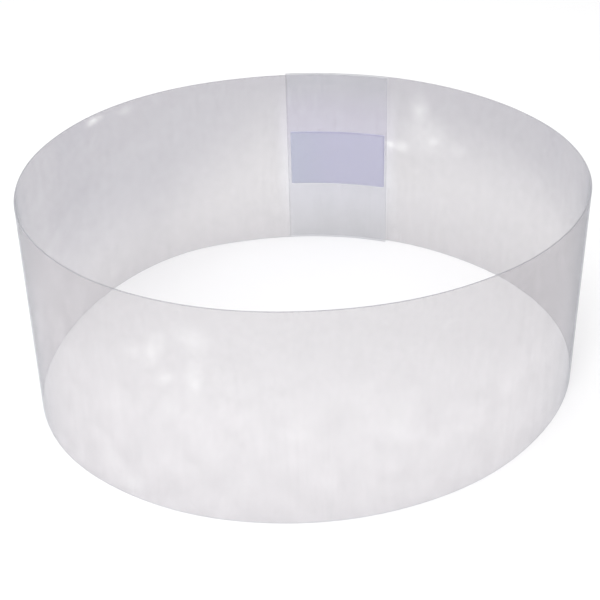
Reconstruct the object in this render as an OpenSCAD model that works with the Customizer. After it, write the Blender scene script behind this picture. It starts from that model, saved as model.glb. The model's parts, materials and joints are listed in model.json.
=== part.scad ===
// Exercise-ball ring: one strip of clear plastic sheet, rolled into a circle and closed where its
// two ends overlap, by a patch of hook and loop tape between the layers. It stands on its edge, and
// a ball rests in its rim. Opened, it unrolls into a straight strip.
// The origin is on the floor in the middle of the ring, and the overlap is at +Y.

/* [Strip] */
// Radius of the rolled strip at the front, to the middle of the sheet
ring_r = 208; // [150:1:280]
// Width of the strip, which is the height of the ring
strip_w = 160; // [90:1:240]
// Thickness of the plastic sheet
sheet_t = 1; // [0.6:0.1:1.5]

/* [Bending lines] */
// Number of bending lines between the front and the overlap, on each side
side_bends = 11; // [6:1:16]
// Slit between two stretches of sheet at a bending line
slit = 0.2; // [0.1:0.05:0.5]
// Bare sheet between the last bending line and the overlap
bare_end = 6; // [3:1:15]

/* [Closure] */
// Length of both tapes, along the strip
tape_len = 86; // [50:1:120]
// Width of both tapes
tape_w = 50; // [25:1:80]
// Sheet left free between the end of a tape and the end of the strip
end_margin = 3; // [1:0.5:10]
// Thickness of the adhesive behind each tape
adhesive_t = 0.15; // [0.1:0.05:0.3]
// Fine gap between the sheet and each layer of adhesive
bond_gap = 0.03; // [0.02:0.01:0.1]
// Thickness of the woven base of each tape
base_t = 0.4; // [0.3:0.1:0.8]
// Plain woven edge along each side of a tape, without hooks or loops
selvedge_w = 2.5; // [1:0.5:5]
// Height of the hooks over their base
hook_h = 0.6; // [0.4:0.1:1]
// Distance from one row of hooks to the next
hook_pitch = 1.8; // [1.5:0.1:3]
// Width of a hook's stem
stem_w = 0.4; // [0.3:0.1:0.6]
// Width of a hook's head
head_w = 0.9; // [0.7:0.1:1.2]
// Height of a hook's head
head_h = 0.2; // [0.1:0.05:0.3]
// Height of the loop pile over its base
pile_h = 0.6; // [0.4:0.1:1]
// Play between the hooks and the loops
closure_gap = 0.3; // [0.2:0.05:0.6]

/* [Hidden] */
$fn = 360;
// Distances outside the middle of the sheet at which a tape's adhesive, base and hooks or loops start
adhesive_at = sheet_t / 2 + bond_gap;
base_at = adhesive_at + adhesive_t;
face_at = base_at + base_t;
// Distance between the two layers, from middle to middle
layer_step = 2 * face_at + hook_h + closure_gap + pile_h;
overlap = tape_len + 2 * end_margin;
// Angle that a length along the strip takes up
function angle_of(length) = length / ring_r * 180 / PI;
half_overlap_a = angle_of(overlap) / 2;
half_tape_a = angle_of(tape_len) / 2;
half_slit_a = angle_of(slit) / 2;
last_bend_a = 180 - half_overlap_a - angle_of(bare_end);
stretch_a = last_bend_a / (side_bends + 0.5);
// The strip's ends, as angles from the front, positive towards +X
outer_end_a = 180 + half_overlap_a;
inner_end_a = -outer_end_a;

function two_digits(k) = str(k < 10 ? "0" : "", k);
function left_name(k) = str("strip_left_", two_digits(k));
function right_name(k) = str("strip_right_", two_digits(k));

// The strip winds outwards by one layer in a turn. Its middle, at angle a from the front:
function lay_r(a) = ring_r + layer_step * a / 360;
function lay_point(a) = lay_r(a) * [sin(a), -cos(a)];
// Angle of the bending line with number k, counted from the front
function bend_a(k) = (k - 0.5) * stretch_a;

// Centre of the circle through three points
function circle_centre(p, q, s) =
    let (
        u = q - p,
        v = s - p,
        twice_area = 2 * (u.x * v.y - u.y * v.x)
    )
    p + [v.y * (u * u) - u.y * (v * v), u.x * (v * v) - v.x * (u * u)] / twice_area;
// Centre of the arc that the sheet follows over a span [from, to] of angles
function arc_centre(span) =
    circle_centre(lay_point(span[0]), lay_point((span[0] + span[1]) / 2), lay_point(span[1]));
// Direction in which point p lies from point c
function heading(c, p) = atan2(p.y - c.y, p.x - c.x);

// Sweeps a profile along the arc of a span of sheet, between two angles. The profile is drawn as
// distance outside the middle of the sheet and height over the floor.
module along_sheet(span, from, to) {
    centre = arc_centre(span);
    start = heading(centre, lay_point(from));
    sweep = (heading(centre, lay_point(to)) - start + 360) % 360;
    translate(centre) rotate(start)
        rotate_extrude(angle = sweep)
            translate([norm(lay_point(span[0]) - centre), 0]) children();
}

module sheet(span, from, to) {
    along_sheet(span, from, to)
        translate([-sheet_t / 2, 0]) square([sheet_t, strip_w]);
}

// Stretch of sheet between two bending lines, with half a slit left at each
module stretch(from, to) {
    sheet([from, to], from + half_slit_a, to - half_slit_a);
}

// Profile of a layer on the tape's place, from one distance outside the middle to another
module tape_layer(near, far, inset = 0) {
    translate([min(near, far), (strip_w - tape_w) / 2 + inset])
        square([abs(far - near), tape_w - 2 * inset]);
}

inner_span = [inner_end_a, -last_bend_a];
outer_span = [last_bend_a, outer_end_a];

module on_inner_end() {
    along_sheet(inner_span, -180 - half_tape_a, -180 + half_tape_a) children();
}

module on_outer_end() {
    along_sheet(outer_span, 180 - half_tape_a, 180 + half_tape_a) children();
}

module strip_front() {
    color("lightcyan") stretch(-bend_a(1), bend_a(1));
}

module strip_left(k) {
    color("lightcyan") stretch(-bend_a(k + 1), -bend_a(k));
}

module strip_right(k) {
    color("lightcyan") stretch(bend_a(k), bend_a(k + 1));
}

module inner_end() {
    color("lightcyan") sheet(inner_span, inner_end_a, -last_bend_a - half_slit_a);
}

module outer_end() {
    color("lightcyan") sheet(outer_span, last_bend_a + half_slit_a, outer_end_a);
}

module hook_adhesive() {
    color("whitesmoke") on_inner_end() tape_layer(adhesive_at, base_at);
}

// Woven base with rows of hooks, each a stem with a wider head
module hook_tape() {
    field_w = tape_w - 2 * selvedge_w;
    rows = floor((field_w - head_w) / hook_pitch);
    color("lavender") on_inner_end() {
        tape_layer(base_at, face_at);
        for (row = [-rows / 2:rows / 2]) translate([face_at, strip_w / 2 + row * hook_pitch]) {
            translate([0, -stem_w / 2]) square([hook_h, stem_w]);
            translate([hook_h - head_h, -head_w / 2]) square([head_h, head_w]);
        }
    }
}

module loop_adhesive() {
    color("whitesmoke") on_outer_end() tape_layer(-adhesive_at, -base_at);
}

// Woven base with a field of loop pile between its selvedges
module loop_tape() {
    color("lavender") on_outer_end() {
        tape_layer(-base_at, -face_at);
        tape_layer(-face_at, -face_at - pile_h, selvedge_w);
    }
}

strip_front();
inner_end();
outer_end();
for (k = [1:side_bends]) {
    strip_left(k);
    strip_right(k);
}
hook_adhesive();
hook_tape();
loop_adhesive();
loop_tape();
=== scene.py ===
import json
import math

import bmesh
import bpy
import numpy as np
from mathutils import Matrix, Vector


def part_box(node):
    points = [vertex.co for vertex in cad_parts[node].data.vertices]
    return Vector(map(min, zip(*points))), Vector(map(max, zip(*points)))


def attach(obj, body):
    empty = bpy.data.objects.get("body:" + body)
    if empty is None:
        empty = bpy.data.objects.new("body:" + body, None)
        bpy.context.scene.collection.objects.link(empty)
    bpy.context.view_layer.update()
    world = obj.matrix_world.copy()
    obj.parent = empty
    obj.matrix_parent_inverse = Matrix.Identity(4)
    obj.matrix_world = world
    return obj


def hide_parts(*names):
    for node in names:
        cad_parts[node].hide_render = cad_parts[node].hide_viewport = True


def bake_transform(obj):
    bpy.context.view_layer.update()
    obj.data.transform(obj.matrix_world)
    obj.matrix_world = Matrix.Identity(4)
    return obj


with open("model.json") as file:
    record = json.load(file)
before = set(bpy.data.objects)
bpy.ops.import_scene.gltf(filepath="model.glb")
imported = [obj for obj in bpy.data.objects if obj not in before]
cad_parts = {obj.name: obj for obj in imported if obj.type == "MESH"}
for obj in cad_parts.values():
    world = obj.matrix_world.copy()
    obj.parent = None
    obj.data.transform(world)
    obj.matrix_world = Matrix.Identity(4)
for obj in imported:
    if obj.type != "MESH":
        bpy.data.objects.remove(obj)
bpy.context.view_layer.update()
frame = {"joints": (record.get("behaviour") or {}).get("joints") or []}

# --- Camera ---------------------------------------------------------------------------------
# A short telephoto a little under a metre away, 30 degrees above the floor and 10 degrees to the
# right of the ring's front, held with a slight roll. It looks at the ring's axis, low in the ring.

camera_azimuth = math.radians(10.05)
camera_elevation = math.radians(29.89)
camera_roll = math.radians(-1.57)
camera_distance = 0.9425
camera_target = Vector((-0.00198, -0.00034, 0.04844))

view_back = Vector((
    math.sin(camera_azimuth) * math.cos(camera_elevation),
    -math.cos(camera_azimuth) * math.cos(camera_elevation),
    math.sin(camera_elevation),
))
camera = bpy.data.objects.new("camera", bpy.data.cameras.new("camera"))
camera.data.sensor_width = 36
camera.data.lens = 72.19
camera.data.clip_start = 0.01
camera.matrix_world = (
    Matrix.Translation(camera_target + view_back * camera_distance)
    @ (-view_back).to_track_quat("-Z", "Y").to_matrix().to_4x4()
    @ Matrix.Rotation(camera_roll, 4, "Z")
)
bpy.context.scene.collection.objects.link(camera)
bpy.context.scene.camera = camera
bpy.context.scene.view_settings.view_transform = "Standard"

# --- Strip ----------------------------------------------------------------------------------
# One strip of clear PVC sheet, calendered 1 mm thick and cut square by guillotine. It is rolled
# by hand into a ring, whose ends overlap at +Y with the closure between them. So it winds
# outwards by the thickness of sheet and closure in a turn.

sheet_t = 0.001
cut_round = 0.00015
# the mesh has a column every half degree, one more close to each seam, and rows 4 mm high, and
# turns over a cut edge in five faces
column_a = math.radians(0.5)
seam_a = math.radians(0.03)
row_h = 0.004
edge_faces = 5

front_low, front_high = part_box("strip_front")
strip_w = front_high.z
ring_r = -front_low.y - sheet_t / 2


def angle_at(point):
    """Angle of a point from the front, positive towards +X."""
    return math.atan2(point[0], -point[1])


bends = {joint["child"]: joint["pos_m"] for joint in frame["joints"]}
bend_angles = {child: angle_at(point) for child, point in bends.items()}
# the first and the last bending line tell how far the strip winds outwards
reach = math.hypot(*bends["outer_end"][:2]) - math.hypot(*bends["inner_end"][:2])
layer_step = reach / (2 * bend_angles["outer_end"]) * math.tau
outer_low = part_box("outer_end")[0]
outer_end_a = math.pi + math.asin(-outer_low.x / (ring_r + layer_step / 2 + sheet_t / 2))
tape_low, tape_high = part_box("hook_tape")
tape_half_a = math.asin(tape_high.x / tape_high.y)
tape_w = tape_high.z - tape_low.z


def lay(a, offset, z):
    """Points at angles a and heights z, at a distance outside the middle of the sheet."""
    r = ring_r + layer_step * a / math.tau + offset
    return np.stack(np.broadcast_arrays(r * np.sin(a), -r * np.cos(a), z), axis=-1)


def out_of_round(a, z):
    """How far hand-rolled sheet stands outside a true ring, which dies away towards the closure."""
    height = z / strip_w
    # in millimetres, the upper edge has three soft corners and is nowhere more than 2 out
    upper = 0.4 * np.sin(2 * a) + 0.4 * np.cos(3 * a) - 1.3 * np.sin(3 * a)
    # the lower edge is less round: 7 inwards on the left, and 4.5 outwards at the front left
    lower = 0.4 * np.sin(a) - 0.8 * np.cos(a) - 1.9 * np.sin(2 * a) + 2.4 * np.cos(2 * a)
    lower += -3.2 * np.sin(3 * a) + 1.4 * np.sin(4 * a) - 0.7 * np.cos(4 * a)
    broad = height * upper + (1 - height) * lower
    # rolling has left shallow waves, 195 mm and 107 mm long, which lean a little
    u = a * ring_r
    wave = 0.2 * np.sin(u / 0.031 + 2.0 + 1.3 * height) + 0.12 * np.sin(u / 0.017 + 4.1 - 2.2 * height)
    # the inner layer is true further out from the closure, where the outer one slides over it
    true_from = np.radians(np.where(a < 0, 158, 168))
    fade = math.radians(28)
    free = np.clip((true_from - abs(a)) / fade, 0, 1)
    return 0.001 * (broad + wave) * free * free * (3 - 2 * free)


def sheet_profile():
    """Closed section of the sheet as offsets and heights, and how many rows a face has."""
    half = sheet_t / 2
    rows = round(strip_w / row_h)
    heights = [cut_round + (strip_w - 2 * cut_round) * i / rows for i in range(rows + 1)]
    # halfway round an edge's arc, the sheet is this far inside its square corner
    soft = cut_round * (1 - math.sqrt(0.5))
    outside = [(half, z) for z in heights]
    inside = [(-half, z) for z in reversed(heights)]
    top = [(half - soft, strip_w - soft), (half - cut_round, strip_w)]
    top += [(-half + cut_round, strip_w), (-half + soft, strip_w - soft)]
    bottom = [(-half + soft, soft), (-half + cut_round, 0), (half - cut_round, 0), (half - soft, soft)]
    return np.array(outside + top + inside + bottom), rows


def end_faces(rows):
    """Faces of one cut end, by the profile's points: one for each row, then the top and bottom."""
    opposite = 2 * rows + edge_faces
    ladder = [(i, i + 1, opposite - i - 1, opposite - i) for i in range(rows)]
    top = [rows + i for i in range(edge_faces + 1)]
    bottom = [opposite + i for i in range(edge_faces)] + [0]
    return [*ladder, top, bottom]


def make_piece(name, points, faces, places, materials):
    """A mesh piece with smooth faces, and a UV map in metres along and across the strip."""
    mesh = bpy.data.meshes.new(name)
    mesh.from_pydata(points.reshape(-1, 3).tolist(), [], faces)
    uv = mesh.uv_layers.new(name="along_the_strip")
    corners = np.empty(len(mesh.loops), dtype=np.int32)
    mesh.loops.foreach_get("vertex_index", corners)
    uv.data.foreach_set("uv", places.reshape(-1, 2)[corners].ravel())
    for material in materials:
        mesh.materials.append(material)
    mesh.shade_smooth()
    piece = bpy.data.objects.new(name, mesh)
    bpy.context.scene.collection.objects.link(piece)
    return piece


def sharpen_cuts(mesh):
    """Shades the sheet and its cut edges apart, along the edges where their materials meet."""
    shape = bmesh.new()
    shape.from_mesh(mesh)
    for edge in shape.edges:
        if len(edge.link_faces) == 2:
            edge.smooth = edge.link_faces[0].material_index == edge.link_faces[1].material_index
    shape.to_mesh(mesh)
    shape.free()


def strip_piece(name, start_a, end_a, cut_start, cut_end):
    """Stretch of the sheet between two angles, open where the next one takes over."""
    profile, rows = sheet_profile()
    offsets, heights = profile.T
    columns = max(2, round((end_a - start_a) / column_a))
    inner = np.linspace(start_a, end_a, columns + 1)[1:-1]
    angles = np.array([start_a, start_a + seam_a, *inner, end_a - seam_a, end_a])[:, None]
    points = lay(angles, offsets + out_of_round(angles, heights), heights)
    places = np.stack(np.broadcast_arrays(angles * ring_r, heights), axis=-1)

    at = np.arange(angles.size * len(profile)).reshape(angles.size, len(profile))
    after = np.roll(at, -1, axis=1)
    faces = np.stack([at[:-1], at[1:], after[1:], after[:-1]], axis=-1).reshape(-1, 4).tolist()
    is_cut = np.zeros(len(profile), dtype=np.int32)
    is_cut[rows:rows + edge_faces] = 1
    is_cut[2 * rows + edge_faces:] = 1
    cuts = np.tile(is_cut, angles.size - 1).tolist()
    if cut_start:
        faces += [at[0, face][::-1].tolist() for face in map(list, end_faces(rows))]
    if cut_end:
        faces += [at[-1, face].tolist() for face in map(list, end_faces(rows))]
    cuts += [1] * (len(faces) - len(cuts))

    piece = make_piece(name, points, faces, places, [clear_pvc, cut_pvc])
    piece.data.polygons.foreach_set("material_index", cuts)
    sharpen_cuts(piece.data)
    return piece


def linear(hex_colour):
    """Linear RGBA of an sRGB hex colour."""
    parts = [int(hex_colour[i:i + 2], 16) / 255 for i in (1, 3, 5)]
    return [x / 12.92 if x <= 0.04045 else ((x + 0.055) / 1.055) ** 2.4 for x in parts] + [1]


def add(tree, kind, links=None, **settings):
    """Adds a shader node. links gives its inputs, by name or number, a value, a socket or a node."""
    made = tree.nodes.new("ShaderNode" + kind)
    for name, value in settings.items():
        setattr(made, name, value)
    for name, value in (links or {}).items():
        # a node stands for its first output in use
        if isinstance(value, bpy.types.Node):
            value = next(output for output in value.outputs if output.enabled)
        if isinstance(value, bpy.types.NodeSocket):
            tree.links.new(value, made.inputs[name])
        else:
            made.inputs[name].default_value = value
    return made


def new_material(name):
    """An empty material and its node tree."""
    material = bpy.data.materials.new(name)
    material.use_nodes = True
    material.node_tree.nodes.clear()
    return material, material.node_tree


# Clear PVC sheet, calendered and glossy on both faces, and a little milky from stacking and handling:
# the eye sees what is behind it greyed and softened, with upright streaks from rolling. Painted shade
# darkens it towards the upper rim and over the back half, painted light clears it where the ends
# overlap, and milky spots are painted highlights.
clear_pvc, tree = new_material("clear_pvc_sheet")
metres = add(tree, "UVMap", uv_map="along_the_strip")
along, up = add(tree, "SeparateXYZ", {0: metres}).outputs[:2]

# rolling leaves upright waves about 14 mm apart and 110 mm long
waves = add(tree, "Mapping", {"Vector": metres, "Scale": (1 / 0.014, 1 / 0.11, 1)})
wave = add(tree, "TexNoise", {"Vector": waves, "Scale": 1.0, "Detail": 1.5})
bump = add(tree, "Bump", {"Height": wave, "Strength": 0.25, "Distance": 0.0006})
# handling marks are clouds about 20 mm across
clouds = add(tree, "TexNoise", {"Vector": metres, "Scale": 1 / 0.022, "Detail": 3.0, "Roughness": 0.6})
# real scratches are 0.05 mm wide; they are drawn 1 mm wide and 60 mm long, so that they show
scores = add(tree, "Mapping", {
    "Vector": metres, "Rotation": (0, 0, 0.03), "Scale": (1 / 0.001, 1 / 0.06, 1),
})
score = add(tree, "TexNoise", {"Vector": scores, "Scale": 1.0, "Detail": 0.0})
scratch = add(tree, "MapRange", {"Value": score, "From Min": 0.65, "From Max": 0.9})

# Painted highlights: milky spots stand in for the glints of the lamps on the sheet. Each place has its
# angle from the front in degrees, its height, half length and half height in millimetres, its lean in
# degrees, and how milky it is. The first six lie beside the closure.
highlight_spots = [
    (159.0, 131, 13, 22, 0, 0.45),
    (167.0, 97, 8, 5, 0, 1.0),
    (163.4, 97, 11, 8, 0, 0.62),
    (155.0, 107, 14, 6, -38, 0.7),
    (157.0, 110, 32, 26, 0, 0.38),
    (148.6, 105, 16, 8, 0, 0.3),
    (-115.7, 155, 12, 4, 0, 0.9),
    (-125.5, 153, 12, 5, 0, 0.35),
    (-16.5, 124, 9, 19, -30, 0.35),
    (-20.8, 120, 12, 9, 0, 0.25),
    (-9.0, 137, 14, 13, 0, 0.32),
    (-9.2, 106, 8, 18, 0, 0.42),
    (-14.8, 104, 11, 5, 35, 0.35),
    (-14.0, 82, 8, 8, 0, 0.25),
    (-24.0, 12, 14, 10, 0, 0.35),
    (-28.5, 24, 12, 18, 0, 0.25),
    (-1.5, 25, 6, 18, 0, 0.15),
    (26.0, 70, 12, 28, 0, 0.2),
]
# each is a soft spot, and the strongest one at a point counts
highlight_share = 0.0
for angle, height, half_length, half_height, lean, highlight_strength in highlight_spots:
    spot = add(tree, "Mapping", {
        "Vector": metres,
        "Location": (math.radians(angle) * ring_r, height / 1000, 0),
        "Rotation": (0, 0, math.radians(lean)),
        "Scale": (half_length / 1000, half_height / 1000, 1),
    }, vector_type="TEXTURE")
    glow = add(tree, "TexGradient", {"Vector": spot}, gradient_type="SPHERICAL").outputs[1]
    scaled = add(tree, "Math", {0: glow, 1: highlight_strength}, operation="MULTIPLY")
    highlight_share = add(tree, "Math", {0: scaled, 1: highlight_share}, operation="MAXIMUM")
# the painted highlights break up in shreds about 6 mm across
highlight_shreds = add(tree, "TexNoise", {"Vector": metres, "Scale": 1 / 0.006, "Detail": 2.0})
frayed = add(tree, "MapRange", {
    "Value": highlight_shreds, "From Min": 0.3, "From Max": 0.7, "To Min": 0.6, "To Max": 1.2,
})
painted_highlight = add(tree, "Math", {0: highlight_share, 1: frayed}, operation="MULTIPLY", use_clamp=True)

# where the two ends cover each other the sheet is painted clearer, as painted light that keeps the
# double layer as light as one layer, the sheet is tinted a little lilac around the tapes, and adhesive
# wets the sheet behind them, so that its haze is gone there
overlap_lift_edge = 0.0015
lilac_run_along = 0.015
lilac_run_up = 0.045
tape_end = tape_half_a * ring_r
tape_side = tape_w / 2
overlap_end = (outer_end_a - math.pi) * ring_r
beside = add(tree, "Math", {0: along}, operation="ABSOLUTE")
past = add(tree, "Math", {0: beside, 1: math.pi * ring_r}, operation="SUBTRACT")
off_along = add(tree, "Math", {0: past}, operation="ABSOLUTE")
middle = add(tree, "Math", {0: up, 1: strip_w / 2}, operation="SUBTRACT")
off_up = add(tree, "Math", {0: middle}, operation="ABSOLUTE")
overlap_lift = add(tree, "MapRange", {
    "Value": past, "From Min": -overlap_end, "From Max": -overlap_end + overlap_lift_edge,
})
run_along = add(tree, "MapRange", {
    "Value": off_along, "From Min": tape_end + lilac_run_along, "From Max": tape_end,
})
run_up = add(tree, "MapRange", {
    "Value": off_up, "From Min": tape_side + lilac_run_up, "From Max": tape_side,
})
near_tapes = add(tree, "Math", {0: run_along, 1: run_up}, operation="MULTIPLY")
on_length = add(tree, "Math", {0: off_along, 1: tape_end}, operation="LESS_THAN")
on_width = add(tree, "Math", {0: off_up, 1: tape_side}, operation="LESS_THAN")
wetted = add(tree, "Math", {0: on_length, 1: on_width}, operation="MULTIPLY")

# painted shade: the sheet is painted darker towards the upper rim, and greyer over the back half of the
# ring, and this painted shade reaches 60 mm further down on the left
grey_from = 0.06
grey_lowered = 0.06
deepest_shade_at = -2 * ring_r
unshaded_middle = 0.15 * ring_r
from_deepest_shade = add(tree, "Math", {0: along, 1: deepest_shade_at}, operation="SUBTRACT")
off_deepest_shade = add(tree, "Math", {0: from_deepest_shade}, operation="ABSOLUTE")
lowered = add(tree, "MapRange", {
    "Value": off_deepest_shade, "From Min": 0.8 * ring_r, "From Max": 0.3 * ring_r, "To Max": grey_lowered,
})
rim_near = add(tree, "Math", {0: up, 1: lowered}, operation="ADD")
top_shade = add(tree, "MapRange", {
    "Value": rim_near, "From Min": grey_from, "From Max": strip_w,
}, interpolation_type="SMOOTHSTEP")
from_front = add(tree, "Math", {0: along, 1: unshaded_middle}, operation="SUBTRACT")
off_front = add(tree, "Math", {0: from_front}, operation="ABSOLUTE")
back_shade = add(tree, "MapRange", {
    "Value": off_front, "From Min": ring_r, "From Max": 2 * ring_r,
}, interpolation_type="SMOOTHSTEP")

# the tint is clouded at random, greyer over the back half and towards the upper rim as painted shade,
# and painted lighter where the ends overlap
clearness = add(tree, "Mix", {0: clouds, 6: linear("#ebeaeb"), 7: linear("#fdfcfd")}, data_type="RGBA")
front_tint = add(tree, "Mix", {0: top_shade, 6: clearness, 7: linear("#eeedee")}, data_type="RGBA")
back_shade_tint = add(tree, "Mix", {0: top_shade, 6: linear("#efeeef"), 7: linear("#e1e0e3")}, data_type="RGBA")
greyed = add(tree, "Mix", {0: back_shade, 6: front_tint, 7: back_shade_tint}, data_type="RGBA")
overlap_lift_tone = add(tree, "Mix", {0: top_shade, 6: linear("#f6f6f7"), 7: linear("#eeeef0")}, data_type="RGBA")
overlap_lifted = add(tree, "Mix", {0: overlap_lift, 6: greyed, 7: overlap_lift_tone}, data_type="RGBA")
lilac_tone = add(tree, "Mix", {0: top_shade, 6: linear("#f5f5f7"), 7: linear("#eeecf2")}, data_type="RGBA")
lilac_tinted = add(tree, "Mix", {0: near_tapes, 6: overlap_lifted, 7: lilac_tone}, data_type="RGBA")
# wetted sheet takes none of these tints, and a painted highlight clears them to white too
bright = add(tree, "Math", {0: wetted, 1: painted_highlight}, operation="MAXIMUM")
cleared =add(tree, "Mix", {0: bright, 6: lilac_tinted, 7: linear("#ffffff")}, data_type="RGBA")

# seen aslant, the eye looks through more of the sheet, and it looks darker
aslant = add(tree, "LayerWeight", {"Blend": 0.5, "Normal": bump}).outputs["Facing"]
grazing = add(tree, "Math", {0: aslant, 1: 8.0}, operation="POWER")
deepened = add(tree, "Mix", {
    0: grazing, 6: cleared, 7: linear("#d1d6db"),
}, data_type="RGBA", blend_type="MULTIPLY")
through = add(tree, "BsdfTransparent", {"Color": deepened})
# the share mirrored by PVC of IOR 1.53 is 4.4 % face on and rises towards grazing sight, where
# the sheet's fine waves keep it well under the whole
mirrored = add(tree, "MapRange", {"Value": grazing, "To Min": 0.044, "To Max": 0.35})
shine = add(tree, "BsdfGlossy", {"Color": linear("#ffffff"), "Roughness": 0.08, "Normal": bump})
glassy = add(tree, "MixShader", {0: mirrored, 1: through, 2: shine})

# clouds, streaks and scratches make the haze. There is less of it over the back half, as painted shade,
# little is left where the two ends cover each other, as painted light, and the painted highlights add to
# it
cloudy = add(tree, "MapRange", {
    "Value": clouds, "From Min": 0.3, "From Max": 0.7, "To Min": 0.11, "To Max": 0.19,
})
streaks = add(tree, "MapRange", {
    "Value": wave, "From Min": 0.35, "From Max": 0.65, "To Min": -0.02, "To Max": 0.025,
})
marks = add(tree, "Math", {0: cloudy, 1: streaks}, operation="ADD")
back_haze_share = add(tree, "MapRange", {"Value": back_shade, "To Min": 1.0, "To Max": 0.65})
kept = add(tree, "Mix", {0: overlap_lift, 2: back_haze_share, 3: 0.35}, data_type="FLOAT")
dulled = add(tree, "Math", {0: marks, 1: kept}, operation="MULTIPLY")
scored = add(tree, "Math", {0: scratch, 1: 0.04, 2: dulled}, operation="MULTIPLY_ADD")
clouded = add(tree, "Math", {
    0: painted_highlight, 1: 0.15, 2: scored,
}, operation="MULTIPLY_ADD", use_clamp=True)
haze = add(tree, "Mix", {0: wetted, 2: clouded, 3: 0.02}, data_type="FLOAT")
# the milk is whiter at the painted highlights
whiteness = add(tree, "Mix", {0: painted_highlight, 6: linear("#dddbdd"), 7: linear("#ffffff")}, data_type="RGBA")
milk = add(tree, "BsdfDiffuse", {"Color": whiteness})
whole = add(tree, "MixShader", {0: haze, 1: glassy, 2: milk})
add(tree, "OutputMaterial", {"Surface": whole})

# The cut edge of the same sheet. Light runs along inside clear sheet and little of it comes out
# towards the eye, so the guillotined edge looks like a thin grey line, faintly scored by the blade.
cut_pvc, tree = new_material("guillotined_pvc_edge")
metres = add(tree, "UVMap", uv_map="along_the_strip")
along, up = add(tree, "SeparateXYZ", {0: metres}).outputs[:2]
# the blade has left marks about 1.5 mm apart
blade = add(tree, "TexNoise", {"Vector": metres, "Scale": 1 / 0.0015, "Detail": 2.0})
tone = add(tree, "Mix", {0: blade, 6: linear("#8a8a90"), 7: linear("#a8a8ad")}, data_type="RGBA")
score = add(tree, "Bump", {"Height": blade, "Strength": 0.3, "Distance": 0.0001})
edge = add(tree, "BsdfPrincipled", {
    "Base Color": tone, "Roughness": 0.35, "IOR": 1.53, "Normal": score,
})
# the floor shines through the edge that stands on it, and makes it paler than the others
open_edge = add(tree, "BsdfTransparent", {"Color": linear("#f4f4f6")})
standing = add(tree, "MapRange", {"Value": up, "From Max": 0.004, "To Min": 0.85, "To Max": 0.25})
# the strip's two ends lie flat against the other layer, and hardly show
beside = add(tree, "Math", {0: along}, operation="ABSOLUTE")
end_u = outer_end_a * ring_r - 0.0001
at_end = add(tree, "Math", {0: beside, 1: end_u}, operation="GREATER_THAN")
fine = add(tree, "Math", {0: at_end, 1: 0.75}, operation="MULTIPLY")
share = add(tree, "Math", {0: standing, 1: fine}, operation="MAXIMUM")
whole = add(tree, "MixShader", {0: share, 1: edge, 2: open_edge})
add(tree, "OutputMaterial", {"Surface": whole})

# Each piece of the sheet reaches from the middle of one rigid CAD stretch to the middle of the next.
side_count = sum(child.startswith("strip_left_") for child in bends)
left = ["inner_end"] + [f"strip_left_{k:02d}" for k in range(side_count, 0, -1)]
right = [f"strip_right_{k:02d}" for k in range(1, side_count + 1)] + ["outer_end"]
bodies = [*left, "strip_front", *right]
joints = [bend_angles[body] for body in [*left, *right]]
middles = [(a + b) / 2 for a, b in zip(joints, joints[1:])]
spans = zip(bodies, bodies[1:], [-outer_end_a, *middles], [*middles, outer_end_a])
held_a = math.pi - tape_half_a
for number, (body, next_body, start_a, end_a) in enumerate(spans, 1):
    piece = strip_piece(
        f"clear_sheet_{number:02d}", start_a, end_a,
        cut_start=body == "inner_end", cut_end=next_body == "outer_end",
    )
    # the points where a turn would start and end are kept off the tapes, which hold the sheet to its arc
    turn_start = tuple(lay(max(start_a, -held_a), 0, 0))
    turn_end = tuple(lay(min(end_a, held_a), 0, 0))
    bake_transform(piece)
    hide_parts(body, next_body)

# --- Woven bases of the closure tapes -------------------------------------------------------
# Both halves of the closure are cut from stock 50 mm nylon tape, woven 0.4 mm thick, with a
# firmer selvedge along each side. The hook half is stuck to the outer face of the strip's inner
# end, and the loop half to the inner face of its outer end.

base_t = 0.0004
# real threads lie 0.35 mm apart; they are drawn 1 mm apart, so that the weave shows
thread_step = 0.001
thread_relief = 0.00005
selvedge_w = 0.0025
weave_step = 0.0005

tape_len = 2 * tape_half_a * ring_r
inner_r = ring_r - layer_step / 2
base_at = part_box("hook_adhesive")[1].y - inner_r
tips_at = tape_high.y - inner_r


def on_tape(side, along, across, height):
    """Points over a tape, from its middle and its adhesive. side is 1 on the inner end, else -1."""
    a = -side * math.pi + along / ring_r
    return lay(a, side * (base_at + height), strip_w / 2 + across)


def weave(along, across):
    """Height of a plain weave from -1 to 1, with cords instead along both selvedges."""
    crossing = np.sin(np.pi * along / thread_step) * np.sin(np.pi * across / thread_step)
    cords = np.cos(math.tau * across / thread_step)
    selvedge = abs(across) > tape_w / 2 - selvedge_w
    return np.where(selvedge, cords, crossing)


def woven_base(name, side, material):
    """The woven base of a tape, as a slab with the weave raised on both faces."""
    columns, rows = round(tape_len / weave_step), round(tape_w / weave_step)
    along = np.linspace(-tape_len / 2, tape_len / 2, columns + 1)[:, None]
    across = np.linspace(-tape_w / 2, tape_w / 2, rows + 1)[None, :]
    relief = thread_relief / 2 * (1 - weave(along, across))
    back = on_tape(side, along, across, relief)
    front = on_tape(side, along, across, base_t - relief)
    count = (columns + 1) * (rows + 1)
    at = np.arange(count).reshape(columns + 1, rows + 1)
    quads = np.stack([at[:-1, :-1], at[1:, :-1], at[1:, 1:], at[:-1, 1:]], axis=-1).reshape(-1, 4)
    border = np.array([*at[:-1, 0], *at[-1, :-1], *at[:0:-1, -1], *at[0, :0:-1]])
    after = np.roll(border, -1)
    sides = np.stack([border, after, after + count, border + count], axis=-1)
    faces = [*(quads + count).tolist(), *quads[:, ::-1].tolist(), *sides.tolist()]
    if side < 0:
        faces = [face[::-1] for face in faces]
    places = np.stack(np.broadcast_arrays(along, across), axis=-1)
    return make_piece(name, np.stack([back, front]), faces, np.stack([places, places]), [material])


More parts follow.
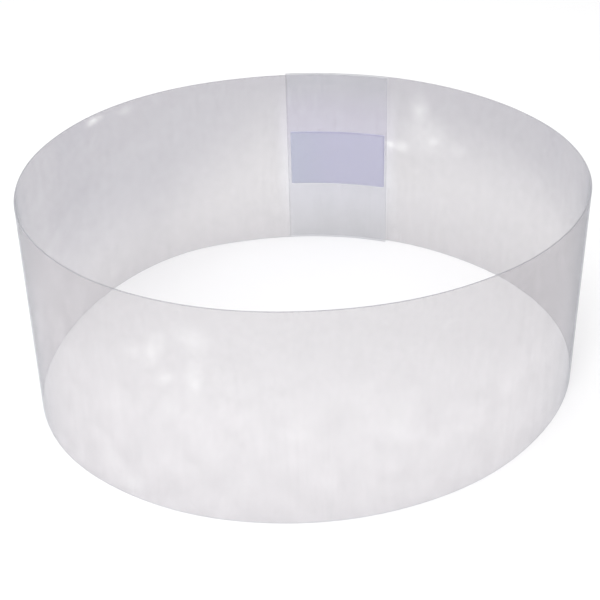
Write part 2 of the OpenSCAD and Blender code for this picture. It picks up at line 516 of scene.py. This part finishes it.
# Plain-woven nylon, dyed a pale lilac: a matt cloth with a fine check of threads, firm at the
# selvedges, and a little uneven in colour from thread to thread.
woven_nylon, tree = new_material("woven_nylon_tape")
metres = add(tree, "UVMap", uv_map="along_the_strip")
# each thread's colour changes along it every 12 mm or so
yarns = add(tree, "Mapping", {"Vector": metres, "Scale": (1 / 0.012, 1 / thread_step, 1)})
yarn = add(tree, "TexNoise", {"Vector": yarns, "Scale": 1.0, "Detail": 2.0})
picks = add(tree, "Mapping", {"Vector": metres, "Scale": (1 / thread_step, 1 / 0.012, 1)})
pick = add(tree, "TexNoise", {"Vector": picks, "Scale": 1.0, "Detail": 2.0})
crossed = add(tree, "Math", {0: yarn, 1: pick}, operation="ADD")
mixed = add(tree, "MapRange", {"Value": crossed, "From Min": 0.7, "From Max": 1.3})
tone = add(tree, "Mix", {0: mixed, 6: linear("#e0dffc"), 7: linear("#e8e7ff")}, data_type="RGBA")
# the tape is a little bluer towards one end
along = add(tree, "SeparateXYZ", {0: metres}).outputs[0]
end_share = add(tree, "MapRange", {"Value": along, "From Min": 0.005, "From Max": 0.045, "To Max": 0.7})
dye = add(tree, "Mix", {0: end_share, 6: tone, 7: linear("#e1e9fb")}, data_type="RGBA")
fibre = add(tree, "Bump", {"Height": crossed, "Strength": 0.4, "Distance": 0.0002})
cloth = add(tree, "BsdfPrincipled", {
    "Base Color": dye, "Roughness": 0.75, "Sheen Weight": 0.25, "Sheen Roughness": 0.5, "Normal": fibre,
})
add(tree, "OutputMaterial", {"Surface": cloth})

for side, half, body in ((1, "hook", "inner_end"), (-1, "loop", "outer_end")):
    piece = woven_base(f"{half}_tape_base", side, woven_nylon)
    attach(piece, body)
    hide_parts(f"{half}_tape")

# --- Hooks ----------------------------------------------------------------------------------
# Stiff nylon monofilament woven into the base in rows, heat-set into loops and cut on one side,
# so that each stands as a small hook. Neighbouring rows face opposite ways.

hook_step = 0.0015
hook_row_step = 0.0018
hook_wire = 0.00018
hook_bend_r = 0.0002
hook_tip_a = -35
hook_bend_points = 7
hook_sides = 5
bare_end = 0.001
rooted = 0.00005


def tube_rings(path, sides, wire):
    """Rings round a path of (along, height) points, as (along, across, height) points."""
    way = np.gradient(path, axis=0)
    way /= np.linalg.norm(way, axis=1, keepdims=True)
    turn = np.arange(sides) * math.tau / sides
    along = path[:, :1] - wire / 2 * np.cos(turn) * way[:, 1:]
    height = path[:, 1:] + wire / 2 * np.cos(turn) * way[:, :1]
    across = wire / 2 * np.sin(turn) * np.ones_like(height)
    return np.stack([along, across, height], axis=-1)


def tube_faces(rings, sides, capped):
    """Faces of one tube whose rings follow each other, with its last ring closed if capped."""
    at = np.arange(rings * sides).reshape(rings, sides)
    after = np.roll(at, -1, axis=1)
    faces = np.stack([at[:-1], after[:-1], after[1:], at[1:]], axis=-1).reshape(-1, 4).tolist()
    return faces + ([at[-1].tolist()] if capped else [])


def repeated(faces, size, copies):
    """The faces of one form, for copies whose points follow each other."""
    return [[i + n * size for i in face] for n in range(copies) for face in faces]


# Nylon monofilament, drawn and heat-set: smooth and slightly shiny, so the eye sees a field of
# fine pale bristles with small glints.
monofilament, tree = new_material("nylon_monofilament")
metres = add(tree, "UVMap", uv_map="along_the_strip")
# the tone changes every few hooks, about 2.5 mm apart
wire_tone = add(tree, "TexNoise", {"Vector": metres, "Scale": 1 / 0.0025, "Detail": 2.0})
tone = add(tree, "Mix", {0: wire_tone, 6: linear("#c9c8dc"), 7: linear("#e2e1ee")}, data_type="RGBA")
wire = add(tree, "BsdfPrincipled", {"Base Color": tone, "Roughness": 0.32, "IOR": 1.53})
add(tree, "OutputMaterial", {"Surface": wire})

# one hook is a straight stem, bent over at the top
bend_centre_h = tips_at - base_at - base_t - hook_bend_r - hook_wire / 2
arc = np.radians(np.linspace(180, hook_tip_a, hook_bend_points))
hook_path = np.stack([hook_bend_r * np.cos(arc), bend_centre_h + hook_bend_r * np.sin(arc)], axis=-1)
hook_path = np.vstack([[-hook_bend_r, -rooted], hook_path])
hook_form = tube_rings(hook_path, hook_sides, hook_wire)
hook_faces = tube_faces(len(hook_path), hook_sides, capped=True)
# an odd number of rows stands between the selvedges, and each row ends a little inside the tape
row_count = 2 * round((tape_w / 2 - selvedge_w) / hook_row_step - 0.5) + 1
row_numbers = np.arange(row_count) - row_count // 2
in_half_row = int((tape_len / 2 - bare_end) / hook_step)
in_row = np.arange(-in_half_row, in_half_row + 1) * hook_step
grid_along, grid_across = np.meshgrid(in_row, row_numbers * hook_row_step)
faced = np.where(row_numbers % 2, 1, -1)[:, None, None, None]
hook_u = grid_along[..., None, None] + faced * hook_form[..., 0]
hook_v = grid_across[..., None, None] + faced * hook_form[..., 1]
hook_h = base_t + hook_form[..., 2]
piece = make_piece(
    "hook_tape_hooks",
    on_tape(1, hook_u, hook_v, hook_h),
    repeated(hook_faces, len(hook_path) * hook_sides, grid_along.size),
    np.stack([hook_u, hook_v], axis=-1),
    [monofilament],
)
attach(piece, "inner_end")
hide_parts("hook_tape")

# --- Loop pile ------------------------------------------------------------------------------
# Fine nylon filaments, woven into the base and brushed up, so that they stand in a thick tangle
# of small loops for the hooks to catch. They cover the tape between its selvedges.

pile_count = 3600
pile_thread = 0.0001
pile_sides = 3
pile_points = 7
loop_w = (0.0005, 0.0012)
loop_h = (0.6, 1.0)
pile_margin_u = 0.0015
pile_margin_v = 0.0005
pile_chance = np.random.default_rng(4)

# Brushed nylon pile: soft, matt and mottled in tufts, so the eye sees a felt-like pad.
brushed_nylon, tree = new_material("brushed_nylon_pile")
metres = add(tree, "UVMap", uv_map="along_the_strip")
# the tufts are about 4 mm across
tufts = add(tree, "TexNoise", {"Vector": metres, "Scale": 1 / 0.004, "Detail": 3.0})
tone = add(tree, "Mix", {0: tufts, 6: linear("#c9c7de"), 7: linear("#e4e3f0")}, data_type="RGBA")
pile = add(tree, "BsdfPrincipled", {
    "Base Color": tone, "Roughness": 0.85, "Sheen Weight": 0.4, "Sheen Roughness": 0.4,
})
add(tree, "OutputMaterial", {"Surface": pile})

# every loop has its own width, height, heading and place
field_len = tape_len - 2 * pile_margin_u
field_w = tape_w - 2 * selvedge_w - 2 * pile_margin_v
pile_h = tips_at - base_at - base_t
each = (pile_count, 1, 1)
width = pile_chance.uniform(*loop_w, each)
height = pile_chance.uniform(*loop_h, each) * (pile_h - pile_thread / 2)
heading = pile_chance.uniform(0, math.tau, each)
place_u = pile_chance.uniform(-field_len / 2, field_len / 2, each)
place_v = pile_chance.uniform(-field_w / 2, field_w / 2, each)
# one arch, 1 wide and 1 high, gives the middle of the thread, and rings of 1 across give its sides
arch = np.radians(np.linspace(180, 0, pile_points))
arch_path = np.stack([np.cos(arch) / 2, np.sin(arch)], axis=-1)
centre = arch_path[:, None, :]
ring = tube_rings(arch_path, pile_sides, 1.0) - np.insert(arch_path, 1, 0, axis=1)[:, None, :]
run = width * centre[..., 0] + pile_thread * ring[..., 0]
aside = pile_thread * ring[..., 1]
pile_u = place_u + run * np.cos(heading) - aside * np.sin(heading)
pile_v = place_v + run * np.sin(heading) + aside * np.cos(heading)
rise = base_t - rooted + (height + rooted) * centre[..., 1] + pile_thread * ring[..., 2]
rise = np.minimum(rise, base_t + pile_h)
loop_faces = [face[::-1] for face in tube_faces(pile_points, pile_sides, capped=False)]
piece = make_piece(
    "loop_tape_pile",
    on_tape(-1, pile_u, pile_v, rise),
    repeated(loop_faces, pile_points * pile_sides, pile_count),
    np.stack([pile_u, pile_v], axis=-1),
    [brushed_nylon],
)
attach(piece, "outer_end")
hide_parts("loop_tape")

# --- Tape adhesive --------------------------------------------------------------------------
# Each tape comes with a layer of pressure-sensitive acrylic adhesive, 0.15 mm thick, and is
# pressed onto the sheet by hand, which leaves small air pockets. The CAD's layers stay.

# Acrylic adhesive, coated and pressed flat: nearly clear and faintly milky, a touch more so at
# the air pockets, where it has not wetted the sheet.
acrylic, tree = new_material("acrylic_adhesive")
metres = add(tree, "TexCoord").outputs["Object"]
# the air pockets are 6 mm apart and about 3 mm across
pockets = add(tree, "TexVoronoi", {"Vector": metres, "Scale": 1 / 0.006})
air = add(tree, "MapRange", {
    "Value": pockets, "From Min": 0.3, "From Max": 0.1, "To Min": 0.06, "To Max": 0.08,
})
through = add(tree, "BsdfTransparent", {"Color": linear("#fdfdfe")})
milk = add(tree, "BsdfDiffuse", {"Color": linear("#ececfa")})
film = add(tree, "MixShader", {0: air, 1: through, 2: milk})
add(tree, "OutputMaterial", {"Surface": film})
for name in ("hook_adhesive", "loop_adhesive"):
    for slot in bpy.data.objects[name].material_slots:
        slot.material = acrylic

# --- Floor and light ------------------------------------------------------------------------
# A pale matt floor in soft, even daylight that is a little dimmer at the horizon, with a large
# soft box high above the ring and a small one far in front of it, both a little to the left.

floor_half = 20.0
floor_below = 0.0003
corners = [(-floor_half, -floor_half, 0), (floor_half, -floor_half, 0)]
corners += [(floor_half, floor_half, 0), (-floor_half, floor_half, 0)]
mesh = bpy.data.meshes.new("floor")
mesh.from_pydata(corners, [], [(0, 1, 2, 3)])
floor = bpy.data.objects.new("floor", mesh)
floor.location.z = -floor_below
bpy.context.scene.collection.objects.link(floor)

# Painted floor, rolled on matt: the eye sees an even, pale ground with soft mottling.
pale_floor, tree = new_material("matt_painted_floor")
place = add(tree, "TexCoord").outputs["Object"]
# the mottling is about 330 mm across
mottle = add(tree, "TexNoise", {"Vector": place, "Scale": 3.0, "Detail": 4.0})
tone = add(tree, "Mix", {0: mottle, 6: linear("#f7f7f7"), 7: linear("#fafafa")}, data_type="RGBA")
paint = add(tree, "BsdfPrincipled", {"Base Color": tone, "Roughness": 0.85})
add(tree, "OutputMaterial", {"Surface": paint})
mesh.materials.append(pale_floor)


def soft_box(name, place, target, size, power):
    """A square area light at a place, turned to a target."""
    lamp = bpy.data.lights.new(name, "AREA")
    lamp.size = size
    lamp.energy = power
    box = bpy.data.objects.new(name, lamp)
    box.location = place
    box.rotation_euler = (Vector(target) - Vector(place)).to_track_quat("-Z", "Y").to_euler()
    bpy.context.scene.collection.objects.link(box)


soft_box("overhead_soft_box", place=(-0.4, -0.4, 2.0), target=(0, 0, 0), size=1.6, power=13)
soft_box("front_soft_box", place=(-0.3, -2.05, 1.1), target=(0, 0, 0.1), size=0.6, power=15.5)

world = bpy.data.worlds.new("soft_daylight")
bpy.context.scene.world = world
world.use_nodes = True
tree = world.node_tree
tree.nodes.clear()
direction = add(tree, "TexCoord").outputs["Generated"]
height = add(tree, "SeparateXYZ", {0: direction}).outputs[2]
rise = add(tree, "MapRange", {"Value": height, "From Min": 0.0, "From Max": 0.7})
sky = add(tree, "Mix", {0: rise, 6: linear("#e2e2e4"), 7: linear("#f3f3f3")}, data_type="RGBA")
daylight = add(tree, "Background", {"Color": sky, "Strength": 1.0})
add(tree, "OutputWorld", {"Surface": daylight})
